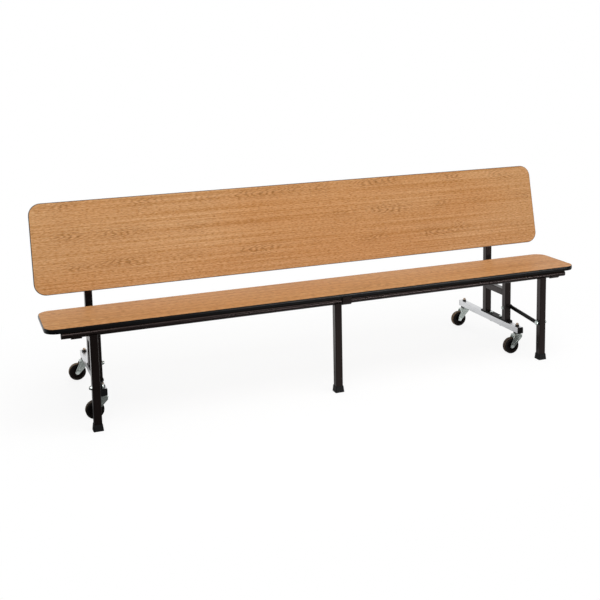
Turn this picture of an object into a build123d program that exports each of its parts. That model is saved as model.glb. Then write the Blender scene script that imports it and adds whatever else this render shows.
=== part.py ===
from build123d import *
import os
from math import cos, radians, sin

# A mobile convertible bench: a seat that folds up on its front legs, and a backrest that tilts
# back to become a table top, carried by two wheeled end frames.
# X runs along the bench, Y from the front of the seat to the back, Z up, and the floor is Z = 0.
# Pieces that come in pairs are drawn at the right-hand end and mirrored.

# Seat and backrest panels
PANEL_LENGTH = 2438.4
PANEL_THICK = 19.0
PANEL_CORNER = 51.0
LAMINATE = 1.2
BAND = 3.0
BAND_LAND = 1.0
BAND_SPINE = 2.0
BAND_SPINE_DEPTH = 9.0
SEAT_HEIGHT = 431.8
SEAT_DEPTH = 288.0
SEAT_LEAD = 13.5
BACK_HEIGHT = 384.0
BACK_LEAN = 12.5
BACK_BELOW_PIVOT = 219.0
TABLE_HEIGHT = 736.6
PIVOT_BELOW_TABLE = 46.1

# Overall depth, from the front of the feet to the rear ends of the caster bars
HALF_DEPTH = 333.75

# Square tube of the posts and legs
TUBE = 31.75
TUBE_WALL = 1.8
TUBE_CORNER = 3.5

# End frames
END_INSET = 229.2
FRONT_POST_INSET = 51.5
FRONT_POST_DROP = 30.8
POST_SPACING = 176.0
POST_ABOVE_PIVOT = 12.0
CROSS_TUBE_Z = 271.0
STRETCHER_Z = 335.0
PLUG_FLANGE = 3.0
PLUG_DEPTH = 14.0
PLUG_ROUND = 1.2

# Caster bars and the base plates bolted to them
BAR_TUBE = 30.0
BAR_WALL = 2.0
BAR_CORNER = 3.0
BAR_BOTTOM = 98.0
BAR_LEAD = 121.25
STEM_INSET = 25.0
BASE_THICK = 8.0
BASE_WIDTH = 34.0
BASE_OVERHANG = 15.0
BASE_BOLT_INSET = 45.0

# Front legs on their turning rail
LEG_INSET = 184.2
RAIL_INSET = 64.2
RAIL_OD = 25.4
RAIL_WALL = 2.0
RAIL_GAP = 0.4
LEG_INTO_RAIL = 6.7
LEG_RELIEF = 7.0
LEG_FOOT_GAP = 5.0
FOOT = 41.5
FOOT_HEIGHT = 27.0
FOOT_TAPER = 7.5
FOOT_CORNER = 5.0

# Rail saddles under the seat
SADDLE_WIDTH = 42.0
SADDLE_THICK = 4.5
SADDLE_FLANGE = 46.0
SADDLE_LIP = 7.0
END_SADDLE_INSET = 119.2
MID_SADDLE_X = 40.5

# Folding linkage: the places of its pivots and the size of its links
SEAT_PIVOT_REACH = 17.0
SEAT_PIVOT_DROP = 12.8
LINK_POST_Z = 197.0
LINK_LEG_Z = 176.0
LINK_HEIGHT = 17.0
LINK_EYE_R = 11.0
LINK_THICK = 7.0
LINK_OFFSET = 24.6
LINK_PLAY = 3.2

# Hinge plates and pivots
BOLT_R = 5.0
PIN_FIT = 0.1
SIDE_GAP = 0.6
HEX_R = 9.0
BOLT_HEAD = 5.5
FLANGE_R = 8.5
FLANGE_THICK = 2.2
SPACER_R = 9.0
WASHER_R = 11.0
WASHER_THICK = 1.5
LUG_THICK = 3.5
LUG_R = 8.5
LUG_DROP = 45.0
SEAT_EAR = 4.0
SEAT_EAR_R = 9.0
SEAT_EAR_REACH = 20.0
SEAT_ARM_WIDTH = 50.0
SEAT_ARM_THICK = 3.0
SEAT_ARM_FRONT = 30.0
SEAT_ARM_REAR = 25.0

# Tilt bracket, its locking plate and the lock pin
BACK_EAR = 4.0
BACK_EAR_R = 13.0
BACK_EAR_BASE = 56.0
BACK_PLATE = 4.0
BACK_PLATE_WIDTH = 96.0
BACK_PLATE_HEIGHT = 110.0
PLATE_CORNER = 8.0
TILT_PLATE = 5.0
TILT_PLATE_R = 14.0
LOCK_REACH = 40.0
LOCK_LAND = 11.0
LOCK_R = 4.0
LOCK_FIT = 0.25
LOCK_TIP_GAP = 0.4
LOCK_TRAVEL = 5.0
LOCK_BOSS_R = 9.0
LOCK_BOSS = 14.0
KNOB_R = 11.0
KNOB_LENGTH = 16.0
KNOB_ROUND = 3.0

# Swivel casters, all trailing towards -X
WHEEL_D = 76.2
WHEEL_WIDTH = 26.0
TREAD = 8.0
TREAD_ROUND = 5.0
HUB_BOSS_R = 12.0
HUB_WEB = 10.0
HUB_RIM = 6.0
CASTER_TRAIL = 36.0
FORK_PLATE = 2.5
FORK_GAP = 1.5
FORK_CROWN = 3.0
FORK_CROWN_DROP = 12.0
FORK_CORNER = 3.0
FORK_EYE_R = 10.0
FORK_FRONT = 20.0
FORK_REAR = 26.0
FORK_RIB_DEPTH = 0.8
FORK_RIB_R = 4.0
FORK_RIB_START = 18.0
FORK_RIB_TOP = 24.0
RACE_R = 18.0
RACE_HEIGHT = 4.5
RACE_GAP = 0.5
AXLE_R = 5.0
AXLE_HEAD = 4.0
STEM_R = 6.0
STEM_FLANGE = 4.0
STEM_NUT_R = 10.5
STEM_NUT = 6.5
STEM_TIP = 9.0
STEM_TIP_ROUND = 2.0

# Places worked out from the sizes above
END_X = PANEL_LENGTH / 2 - END_INSET
LEG_X = PANEL_LENGTH / 2 - LEG_INSET
END_SADDLE_X = PANEL_LENGTH / 2 - END_SADDLE_INSET
RAIL_LENGTH = PANEL_LENGTH - 2 * RAIL_INSET
LEG_Y = -HALF_DEPTH + FOOT / 2
SEAT_FRONT = LEG_Y - SEAT_LEAD
SEAT_Y = SEAT_FRONT + SEAT_DEPTH / 2
SEAT_UNDER = SEAT_HEIGHT - PANEL_THICK
FRONT_POST_Y = SEAT_FRONT + SEAT_DEPTH - FRONT_POST_INSET
REAR_POST_Y = FRONT_POST_Y + POST_SPACING
FRONT_POST_TOP = SEAT_UNDER - FRONT_POST_DROP
SEAT_PIVOT_Y = FRONT_POST_Y + SEAT_PIVOT_REACH
SEAT_PIVOT_Z = SEAT_UNDER - SEAT_PIVOT_DROP
PIVOT_Z = TABLE_HEIGHT - PIVOT_BELOW_TABLE
TUBE_BORE = TUBE - 2 * TUBE_WALL
TUBE_BORE_CORNER = TUBE_CORNER - TUBE_WALL
BAR_BORE = BAR_TUBE - 2 * BAR_WALL
BAR_BORE_CORNER = BAR_CORNER - BAR_WALL
RAIL_R = RAIL_OD / 2
RAIL_Z = SEAT_UNDER - RAIL_GAP - RAIL_R
BAR_TOP = BAR_BOTTOM + BAR_TUBE
BAR_REAR = HALF_DEPTH - PLUG_FLANGE
BAR_FRONT = FRONT_POST_Y - BAR_LEAD
BAR_LENGTH = BAR_REAR - BAR_FRONT
BASE_TOP = BAR_TOP + BASE_THICK
REAR_POST_TOP = PIVOT_Z + POST_ABOVE_PIVOT
STEM_FRONT_Y = BAR_FRONT + STEM_INSET
STEM_REAR_Y = BAR_REAR - STEM_INSET
POST_SIDE = END_X + TUBE / 2
POST_INNER = END_X - TUBE / 2
LINK_IN = END_X + LINK_OFFSET - LINK_THICK / 2
LINK_OUT = LINK_IN + LINK_THICK
LEG_INNER = LEG_X - TUBE / 2
LEG_OUTER = LEG_X + TUBE / 2
OUTER_EAR_IN = POST_SIDE + TILT_PLATE + SIDE_GAP
OUTER_EAR_OUT = OUTER_EAR_IN + BACK_EAR
INNER_EAR_IN = POST_INNER - SIDE_GAP
INNER_EAR_OUT = INNER_EAR_IN - BACK_EAR
PLATE_FACE = PIVOT_BELOW_TABLE - PANEL_THICK - BACK_PLATE

# The backrest leans back: UP runs up the panel and OUT points out of its laminated face
LEAN = radians(BACK_LEAN)
PIVOT = Vector(0, REAR_POST_Y, PIVOT_Z)
UP = Vector(0, sin(LEAN), cos(LEAN))
OUT = Vector(0, -cos(LEAN), sin(LEAN))
LOCK = PIVOT - OUT * LOCK_REACH
LOCK_TABLE = PIVOT - Vector(0, 0, LOCK_REACH)
BACK_MID = PIVOT + OUT * (PIVOT_BELOW_TABLE - PANEL_THICK) + UP * (BACK_HEIGHT / 2 - BACK_BELOW_PIVOT)

SEAT_PLANE = Plane((0, SEAT_Y, SEAT_UNDER))
BACK_PLANE = Plane(BACK_MID, x_dir=(1, 0, 0), z_dir=OUT)
BACK_PLATE_PLANE = Plane(PIVOT + OUT * PLATE_FACE + Vector(END_X, 0, 0), x_dir=(1, 0, 0), z_dir=OUT)

os.makedirs("parts", exist_ok=True)


def save(piece, name):
    piece.part.label = name
    export_step(piece.part, f"parts/{name}.step")


def save_pair(right, name):
    save(right, f"{name}_right")
    with BuildPart() as left:
        mirror(right.part, about=Plane.YZ)
    save(left, f"{name}_left")


def ear_plane(x):
    """Plane across the bench at x, through the tilt pivot, with its axes along UP and OUT."""
    return Plane(PIVOT + Vector(x, 0, 0), x_dir=UP, z_dir=(1, 0, 0))


# Seat and backrest: a board with a kerf all round, a laminate face and a crowned edge band whose
# spine sits in the kerf
for panel, plane, depth in (("seat", SEAT_PLANE, SEAT_DEPTH), ("back", BACK_PLANE, BACK_HEIGHT)):
    board_length = PANEL_LENGTH - 2 * BAND
    board_depth = depth - 2 * BAND
    board_corner = PANEL_CORNER - BAND
    board_thick = PANEL_THICK - LAMINATE
    kerf_base = (PANEL_THICK - BAND_SPINE) / 2

    with BuildPart() as board:
        with BuildSketch(plane):
            RectangleRounded(board_length, board_depth, board_corner)
        extrude(amount=board_thick)
        with BuildSketch(plane.offset(kerf_base)):
            RectangleRounded(board_length, board_depth, board_corner)
            offset(amount=-BAND_SPINE_DEPTH, mode=Mode.SUBTRACT)
        extrude(amount=BAND_SPINE, mode=Mode.SUBTRACT)
    save(board, f"{panel}_board")

    with BuildPart() as sheet:
        with BuildSketch(plane.offset(board_thick)):
            RectangleRounded(board_length, board_depth, board_corner)
        extrude(amount=LAMINATE)
    save(sheet, f"{panel}_laminate")

    with BuildSketch(plane) as rim:
        RectangleRounded(board_length, board_depth, board_corner)
    rim_wire = rim.sketch.face().outer_wire()
    across_rim = Plane(rim_wire @ 0, x_dir=plane.z_dir, z_dir=rim_wire % 0)
    outward = 1 if across_rim.to_local_coords(plane.origin).Y < 0 else -1
    with BuildPart() as band:
        with BuildSketch(across_rim):
            with BuildLine():
                crown = ThreePointArc(
                    (0, outward * BAND_LAND),
                    (PANEL_THICK / 2, outward * BAND),
                    (PANEL_THICK, outward * BAND_LAND),
                )
                Polyline(crown @ 1, (PANEL_THICK, 0), (0, 0), crown @ 0)
            make_face()
            with Locations((PANEL_THICK / 2, -outward * BAND_SPINE_DEPTH / 2)):
                Rectangle(BAND_SPINE, BAND_SPINE_DEPTH)
        sweep(path=rim_wire)
    save(band, f"{panel}_edge_band")

# Rear post, drilled near its top for the backrest pivot
with BuildPart() as rear_post:
    with BuildSketch(Plane.XY.offset(BASE_TOP)):
        with Locations((END_X, REAR_POST_Y)):
            RectangleRounded(TUBE, TUBE, TUBE_CORNER)
            RectangleRounded(TUBE_BORE, TUBE_BORE, TUBE_BORE_CORNER, mode=Mode.SUBTRACT)
    extrude(amount=REAR_POST_TOP - BASE_TOP)
    with BuildSketch(Plane.YZ.offset(POST_INNER)):
        with Locations((REAR_POST_Y, PIVOT_Z)):
            Circle(BOLT_R)
    extrude(amount=TUBE, mode=Mode.SUBTRACT)
save_pair(rear_post, "rear_post")

# Plug that closes the top of each rear post
with BuildPart() as post_caps:
    with BuildSketch(Plane.XY.offset(REAR_POST_TOP)):
        with Locations((END_X, REAR_POST_Y)):
            RectangleRounded(TUBE, TUBE, TUBE_CORNER)
    extrude(amount=PLUG_FLANGE)
    fillet(post_caps.faces().sort_by(Axis.Z)[-1].edges(), radius=PLUG_ROUND)
    with BuildSketch(Plane.XY.offset(REAR_POST_TOP)):
        with Locations((END_X, REAR_POST_Y)):
            RectangleRounded(TUBE_BORE, TUBE_BORE, TUBE_BORE_CORNER)
    extrude(amount=-(POST_ABOVE_PIVOT - BOLT_R) / 2)
    mirror(about=Plane.YZ)
save(post_caps, "post_caps")

# Front post with two welded hinge lugs that stand above its open top
with BuildPart() as front_post:
    with BuildSketch(Plane.XY.offset(BASE_TOP)):
        with Locations((END_X, FRONT_POST_Y)):
            RectangleRounded(TUBE, TUBE, TUBE_CORNER)
            RectangleRounded(TUBE_BORE, TUBE_BORE, TUBE_BORE_CORNER, mode=Mode.SUBTRACT)
    extrude(amount=FRONT_POST_TOP - BASE_TOP)
    with BuildSketch(Plane.YZ.offset(POST_INNER)):
        with Locations((FRONT_POST_Y, LINK_POST_Z)):
            Circle(BOLT_R)
    extrude(amount=TUBE, mode=Mode.SUBTRACT)
    for lug_x in (POST_SIDE, POST_INNER - LUG_THICK):
        with BuildSketch(Plane.YZ.offset(lug_x)):
            with Locations((FRONT_POST_Y, FRONT_POST_TOP - LUG_DROP / 2)):
                Rectangle(TUBE - 2 * TUBE_CORNER, LUG_DROP)
            with Locations((SEAT_PIVOT_Y, SEAT_PIVOT_Z)):
                Circle(LUG_R)
            make_hull()
            with Locations((SEAT_PIVOT_Y, SEAT_PIVOT_Z)):
                Circle(BOLT_R, mode=Mode.SUBTRACT)
        extrude(amount=LUG_THICK)
save_pair(front_post, "front_post")

# Short tube that ties the two posts of one end together
with BuildPart() as cross_tube:
    with BuildSketch(Plane((END_X, FRONT_POST_Y + TUBE / 2, CROSS_TUBE_Z), x_dir=(1, 0, 0), z_dir=(0, 1, 0))):
        RectangleRounded(TUBE, TUBE, TUBE_CORNER)
        RectangleRounded(TUBE_BORE, TUBE_BORE, TUBE_BORE_CORNER, mode=Mode.SUBTRACT)
    extrude(amount=REAR_POST_Y - FRONT_POST_Y - TUBE)
save_pair(cross_tube, "cross_tube")

# Long tube that ties the two end frames together behind the seat
with BuildPart() as rear_stretcher:
    with BuildSketch(Plane((-POST_INNER, REAR_POST_Y, STRETCHER_Z), x_dir=(0, 1, 0), z_dir=(1, 0, 0))):
        RectangleRounded(TUBE, TUBE, TUBE_CORNER)
        RectangleRounded(TUBE_BORE, TUBE_BORE, TUBE_BORE_CORNER, mode=Mode.SUBTRACT)
    extrude(amount=2 * POST_INNER)
save(rear_stretcher, "rear_stretcher")

# Base plate under the posts, bolted down to the caster bar between them
base_front = FRONT_POST_Y - TUBE / 2 - BASE_OVERHANG
base_rear = REAR_POST_Y + TUBE / 2 + BASE_OVERHANG
base_bolts_at = [(END_X, FRONT_POST_Y + BASE_BOLT_INSET), (END_X, REAR_POST_Y - BASE_BOLT_INSET)]
with BuildPart() as base_plate:
    with BuildSketch(Plane.XY.offset(BAR_TOP)):
        with Locations((END_X, (base_front + base_rear) / 2)):
            RectangleRounded(BASE_WIDTH, base_rear - base_front, BAR_CORNER)
        with Locations(*base_bolts_at):
            Circle(BOLT_R, mode=Mode.SUBTRACT)
    extrude(amount=BASE_THICK)
save_pair(base_plate, "base_plate")

# Plated caster bar, drilled for the caster stems and the base bolts
with BuildPart() as caster_bar:
    with BuildSketch(Plane((END_X, BAR_FRONT, BAR_BOTTOM + BAR_TUBE / 2), x_dir=(1, 0, 0), z_dir=(0, 1, 0))):
        RectangleRounded(BAR_TUBE, BAR_TUBE, BAR_CORNER)
        RectangleRounded(BAR_BORE, BAR_BORE, BAR_BORE_CORNER, mode=Mode.SUBTRACT)
    extrude(amount=BAR_LENGTH)
    with BuildSketch(Plane.XY.offset(BAR_BOTTOM)):
        with Locations((END_X, STEM_FRONT_Y), (END_X, STEM_REAR_Y)):
            Circle(STEM_R)
        with Locations(*base_bolts_at):
            Circle(BOLT_R)
    extrude(amount=BAR_TUBE, mode=Mode.SUBTRACT)
save_pair(caster_bar, "caster_bar")

# Plastic plugs in both ends of both caster bars
with BuildPart() as bar_end_caps:
    for end_y, outward in ((BAR_FRONT, -1), (BAR_REAR, 1)):
        end_plane = Plane((END_X, end_y, BAR_BOTTOM + BAR_TUBE / 2), x_dir=(1, 0, 0), z_dir=(0, outward, 0))
        with BuildSketch(end_plane):
            RectangleRounded(BAR_TUBE, BAR_TUBE, BAR_CORNER)
        extrude(amount=PLUG_FLANGE)
        outer_face = bar_end_caps.faces().sort_by(Axis.Y)[-1 if outward > 0 else 0]
        fillet(outer_face.edges(), radius=PLUG_ROUND)
        with BuildSketch(end_plane):
            RectangleRounded(BAR_BORE, BAR_BORE, BAR_BORE_CORNER)
        extrude(amount=-PLUG_DEPTH)
    mirror(about=Plane.YZ)
save(bar_end_caps, "bar_end_caps")

# Bolts and nuts that clamp the base plates to the caster bars
with BuildPart() as base_bolts:
    with BuildSketch(Plane.XY.offset(BASE_TOP)):
        with Locations(*base_bolts_at):
            RegularPolygon(HEX_R, 6)
    extrude(amount=BOLT_HEAD)
    with BuildSketch(Plane.XY.offset(BAR_BOTTOM)):
        with Locations(*base_bolts_at):
            Circle(BOLT_R)
    extrude(amount=BASE_TOP - BAR_BOTTOM)
    with BuildSketch(Plane.XY.offset(BAR_BOTTOM)):
        with Locations(*base_bolts_at):
            RegularPolygon(HEX_R, 6)
    extrude(amount=-BOLT_HEAD)
    mirror(about=Plane.YZ)
save(base_bolts, "base_bolts")

# Locking plate welded to the outer side of each rear post, with a hole for bench and one for table
with BuildPart() as tilt_plate:
    with BuildSketch(Plane.YZ.offset(POST_SIDE)):
        with Locations((PIVOT.Y, PIVOT.Z)):
            Circle(TILT_PLATE_R)
        with Locations((LOCK.Y, LOCK.Z), (LOCK_TABLE.Y, LOCK_TABLE.Z)):
            Circle(LOCK_LAND)
        make_hull()
        with Locations((PIVOT.Y, PIVOT.Z)):
            Circle(BOLT_R, mode=Mode.SUBTRACT)
        with Locations((LOCK.Y, LOCK.Z), (LOCK_TABLE.Y, LOCK_TABLE.Z)):
            Circle(LOCK_R + LOCK_FIT, mode=Mode.SUBTRACT)
    extrude(amount=TILT_PLATE)
save_pair(tilt_plate, "tilt_plate")

# Pivot bolts of the frames: backrest tilt, seat hinge and link, each with its head inboard
tilt_start = INNER_EAR_OUT - SIDE_GAP
tilt_end = OUTER_EAR_OUT + SIDE_GAP
link_end = LINK_OUT + SIDE_GAP
with BuildPart() as pivot_bolts:
    for head_x, tail_x, bolt_y, bolt_z in (
        (tilt_start, tilt_end, REAR_POST_Y, PIVOT_Z),
        (POST_INNER - LUG_THICK, POST_SIDE + LUG_THICK, SEAT_PIVOT_Y, SEAT_PIVOT_Z),
        (POST_INNER, link_end, FRONT_POST_Y, LINK_POST_Z),
    ):
        with BuildSketch(Plane.YZ.offset(head_x)):
            with Locations((bolt_y, bolt_z)):
                RegularPolygon(HEX_R, 6)
        extrude(amount=-BOLT_HEAD)
        with BuildSketch(Plane.YZ.offset(head_x)):
            with Locations((bolt_y, bolt_z)):
                Circle(BOLT_R)
        extrude(amount=tail_x - head_x)
    for flange_x, flange_y, flange_z in (
        (tilt_end, REAR_POST_Y, PIVOT_Z),
        (link_end, FRONT_POST_Y, LINK_POST_Z),
    ):
        with BuildSketch(Plane.YZ.offset(flange_x)):
            with Locations((flange_y, flange_z)):
                Circle(FLANGE_R)
        extrude(amount=FLANGE_THICK)
    with BuildSketch(Plane.YZ.offset(POST_SIDE)):
        with Locations((FRONT_POST_Y, LINK_POST_Z)):
            Circle(SPACER_R)
    extrude(amount=LINK_IN - SIDE_GAP - POST_SIDE)
    mirror(about=Plane.YZ)
save(pivot_bolts, "pivot_bolts")

# Seat arm: a plate under the seat with two ears that hinge between the lugs of the front post
arm_front = LEG_Y + SEAT_ARM_FRONT
arm_rear = SEAT_PIVOT_Y + SEAT_ARM_REAR
ear_top = SEAT_UNDER - SEAT_ARM_THICK
ear_offset = TUBE / 2 - SIDE_GAP - SEAT_EAR
with BuildPart() as seat_arm:
    with BuildSketch(Plane.XY.offset(ear_top)):
        with Locations((END_X, (arm_front + arm_rear) / 2)):
            RectangleRounded(SEAT_ARM_WIDTH, arm_rear - arm_front, PLATE_CORNER)
    extrude(amount=SEAT_ARM_THICK)
    for ear_x in (END_X + ear_offset, END_X - ear_offset - SEAT_EAR):
        with BuildSketch(Plane.YZ.offset(ear_x)):
            with Locations((SEAT_PIVOT_Y - SEAT_EAR_REACH / 2, ear_top)):
                Rectangle(SEAT_EAR_REACH + 2 * SEAT_EAR_R, SEAT_ARM_THICK, align=(Align.CENTER, Align.MIN))
            with Locations((SEAT_PIVOT_Y, SEAT_PIVOT_Z)):
                Circle(SEAT_EAR_R)
            make_hull()
            with Locations((SEAT_PIVOT_Y, SEAT_PIVOT_Z)):
                Circle(BOLT_R + PIN_FIT, mode=Mode.SUBTRACT)
        extrude(amount=SEAT_EAR)
save_pair(seat_arm, "seat_arm")

# Saddles under the seat in which the leg rail turns; the middle one also hooks over the seat edge
saddle_in = RAIL_R + SIDE_GAP / 2
saddle_out = saddle_in + SADDLE_THICK
slot_depth = SEAT_UNDER - RAIL_Z
for saddle_name, saddle_x, has_lip in (
    ("rail_saddle_left", -END_SADDLE_X, False),
    ("rail_saddle_middle", MID_SADDLE_X, True),
    ("rail_saddle_right", END_SADDLE_X, False),
):
    with BuildPart() as saddle:
        with BuildSketch(Plane.YZ.offset(saddle_x - SADDLE_WIDTH / 2)):
            with Locations((LEG_Y, RAIL_Z)):
                Circle(saddle_out)
                Rectangle(2 * saddle_out, saddle_out, align=(Align.CENTER, Align.MIN), mode=Mode.SUBTRACT)
            with Locations((LEG_Y, RAIL_Z)):
                Rectangle(saddle_out, slot_depth, align=(Align.MIN, Align.MIN))
            with Locations((LEG_Y + saddle_in, SEAT_UNDER)):
                Rectangle(SADDLE_FLANGE, SADDLE_THICK, align=(Align.MIN, Align.MAX))
            if has_lip:
                with Locations((SEAT_FRONT, RAIL_Z)):
                    Rectangle(SADDLE_THICK, slot_depth + SADDLE_LIP, align=(Align.MAX, Align.MIN))
            with Locations((LEG_Y, RAIL_Z)):
                Circle(saddle_in, mode=Mode.SUBTRACT)
                Rectangle(2 * saddle_in, slot_depth, align=(Align.CENTER, Align.MIN), mode=Mode.SUBTRACT)
        extrude(amount=SADDLE_WIDTH)
    save(saddle, saddle_name)

# Leg rail: a round tube that turns in the saddles and carries all three legs
with BuildPart() as leg_rail:
    with BuildSketch(Plane.YZ.offset(-RAIL_LENGTH / 2)):
        with Locations((LEG_Y, RAIL_Z)):
            Circle(RAIL_R)
            Circle(RAIL_R - RAIL_WALL, mode=Mode.SUBTRACT)
    extrude(amount=RAIL_LENGTH)
save(leg_rail, "leg_rail")

# Round plugs in the ends of the rail
with BuildPart() as rail_end_plugs:
    with BuildSketch(Plane.YZ.offset(RAIL_LENGTH / 2)):
        with Locations((LEG_Y, RAIL_Z)):
            Circle(RAIL_R)
    extrude(amount=PLUG_FLANGE)
    fillet(rail_end_plugs.faces().sort_by(Axis.X)[-1].edges(), radius=PLUG_ROUND)
    with BuildSketch(Plane.YZ.offset(RAIL_LENGTH / 2)):
        with Locations((LEG_Y, RAIL_Z)):
            Circle(RAIL_R - RAIL_WALL)
    extrude(amount=-PLUG_DEPTH)
    mirror(about=Plane.YZ)
save(rail_end_plugs, "rail_end_plugs")

# Legs: square tubes notched to the rail, and chamfered behind so that they fold clear of the seat
leg_top = RAIL_Z - RAIL_R + LEG_INTO_RAIL
for leg_name, leg_x in (("left", -LEG_X), ("middle", 0), ("right", LEG_X)):
    with BuildPart() as leg:
        with BuildSketch(Plane.XY.offset(LEG_FOOT_GAP)):
            with Locations((leg_x, LEG_Y)):
                RectangleRounded(TUBE, TUBE, TUBE_CORNER)
                RectangleRounded(TUBE_BORE, TUBE_BORE, TUBE_BORE_CORNER, mode=Mode.SUBTRACT)
        extrude(amount=leg_top - LEG_FOOT_GAP)
        with BuildSketch(Plane.YZ.offset(leg_x - TUBE / 2)):
            with Locations((LEG_Y, RAIL_Z)):
                Circle(RAIL_R)
            with Locations((LEG_Y + TUBE / 2, leg_top)):
                Rectangle(2 * LEG_RELIEF, 2 * LEG_RELIEF, rotation=45)
            if leg_x:
                with Locations((LEG_Y, LINK_LEG_Z)):
                    Circle(BOLT_R)
        extrude(amount=TUBE, mode=Mode.SUBTRACT)
    save(leg, f"leg_{leg_name}")

    # Flared foot pushed over the bottom of the leg
    with BuildPart() as foot:
        with BuildSketch(Plane.XY):
            with Locations((leg_x, LEG_Y)):
                RectangleRounded(FOOT, FOOT, FOOT_CORNER)
        extrude(amount=FOOT_HEIGHT, taper=FOOT_TAPER)
        with BuildSketch(Plane.XY.offset(LEG_FOOT_GAP)):
            with Locations((leg_x, LEG_Y)):
                RectangleRounded(TUBE, TUBE, TUBE_CORNER)
        extrude(amount=FOOT_HEIGHT, mode=Mode.SUBTRACT)
    save(foot, f"foot_{leg_name}")

# Bolts that carry the links on the outer legs
with BuildPart() as leg_link_bolts:
    with BuildSketch(Plane.YZ.offset(LINK_IN - SIDE_GAP / 2 - WASHER_THICK)):
        with Locations((LEG_Y, LINK_LEG_Z)):
            RegularPolygon(HEX_R, 6)
    extrude(amount=-BOLT_HEAD + WASHER_THICK)
    with BuildSketch(Plane.YZ.offset(LINK_IN - SIDE_GAP / 2)):
        with Locations((LEG_Y, LINK_LEG_Z)):
            Circle(WASHER_R)
    extrude(amount=-WASHER_THICK)
    with BuildSketch(Plane.YZ.offset(LINK_IN - SIDE_GAP / 2)):
        with Locations((LEG_Y, LINK_LEG_Z)):
            Circle(BOLT_R)
    extrude(amount=LEG_OUTER - LINK_IN + SIDE_GAP / 2)
    with BuildSketch(Plane.YZ.offset(LINK_OUT + SIDE_GAP / 2)):
        with Locations((LEG_Y, LINK_LEG_Z)):
            Circle(WASHER_R)
    extrude(amount=LEG_INNER - LINK_OUT - SIDE_GAP / 2)
    with BuildSketch(Plane.YZ.offset(LEG_OUTER)):
        with Locations((LEG_Y, LINK_LEG_Z)):
            RegularPolygon(HEX_R, 6)
    extrude(amount=BOLT_HEAD)
    mirror(about=Plane.YZ)
save(leg_link_bolts, "leg_link_bolts")

# Link bar between the front post and the outer leg, with an eye at each end and play at its leg end
with BuildPart() as link_bar:
    with BuildSketch(Plane.YZ.offset(LINK_IN)):
        with Locations((FRONT_POST_Y, LINK_POST_Z), (LEG_Y, LINK_LEG_Z)):
            Circle(LINK_HEIGHT / 2)
        make_hull()
        with Locations((FRONT_POST_Y, LINK_POST_Z), (LEG_Y, LINK_LEG_Z)):
            Circle(LINK_EYE_R)
        with Locations((FRONT_POST_Y, LINK_POST_Z)):
            Circle(BOLT_R + PIN_FIT, mode=Mode.SUBTRACT)
        with Locations((LEG_Y, LINK_LEG_Z)):
            Circle(BOLT_R + LINK_PLAY, mode=Mode.SUBTRACT)
    extrude(amount=LINK_THICK)
save_pair(link_bar, "link_bar")

# Tilt bracket on the back of the panel: a plate with two ears round the post and a boss for the lock
with BuildPart() as tilt_bracket:
    with BuildSketch(BACK_PLATE_PLANE):
        RectangleRounded(BACK_PLATE_WIDTH, BACK_PLATE_HEIGHT, PLATE_CORNER)
    extrude(amount=BACK_PLATE)
    for ear_x, has_lock in ((INNER_EAR_OUT, False), (OUTER_EAR_IN, True)):
        with BuildSketch(ear_plane(ear_x)):
            with Locations((0, PLATE_FACE)):
                Rectangle(BACK_EAR_BASE, BACK_PLATE, align=(Align.CENTER, Align.MIN))
            Circle(BACK_EAR_R)
            if has_lock:
                with Locations((0, -LOCK_REACH)):
                    Circle(LOCK_LAND)
            make_hull()
            Circle(BOLT_R + PIN_FIT, mode=Mode.SUBTRACT)
        extrude(amount=BACK_EAR)
    with BuildSketch(ear_plane(OUTER_EAR_OUT)):
        with Locations((0, -LOCK_REACH)):
            Circle(LOCK_BOSS_R)
    extrude(amount=LOCK_BOSS)
    with BuildSketch(ear_plane(OUTER_EAR_IN)):
        with Locations((0, -LOCK_REACH)):
            Circle(LOCK_R + PIN_FIT)
    extrude(amount=BACK_EAR + LOCK_BOSS, mode=Mode.SUBTRACT)
save_pair(tilt_bracket, "tilt_bracket")

# Lock pin with a pull knob, drawn parked with its tip clear of the locking plate
lock_tip = OUTER_EAR_IN + LOCK_TIP_GAP
knob_start = OUTER_EAR_OUT + LOCK_BOSS + LOCK_TRAVEL + SIDE_GAP
with BuildPart() as lock_pin:
    with BuildSketch(ear_plane(lock_tip)):
        with Locations((0, -LOCK_REACH)):
            Circle(LOCK_R)
    extrude(amount=knob_start - lock_tip)
    with BuildSketch(ear_plane(knob_start)):
        with Locations((0, -LOCK_REACH)):
            Circle(KNOB_R)
    extrude(amount=KNOB_LENGTH)
    fillet(lock_pin.faces().sort_by(Axis.X)[-1].edges(), radius=KNOB_ROUND)
save_pair(lock_pin, "lock_pin")

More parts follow.
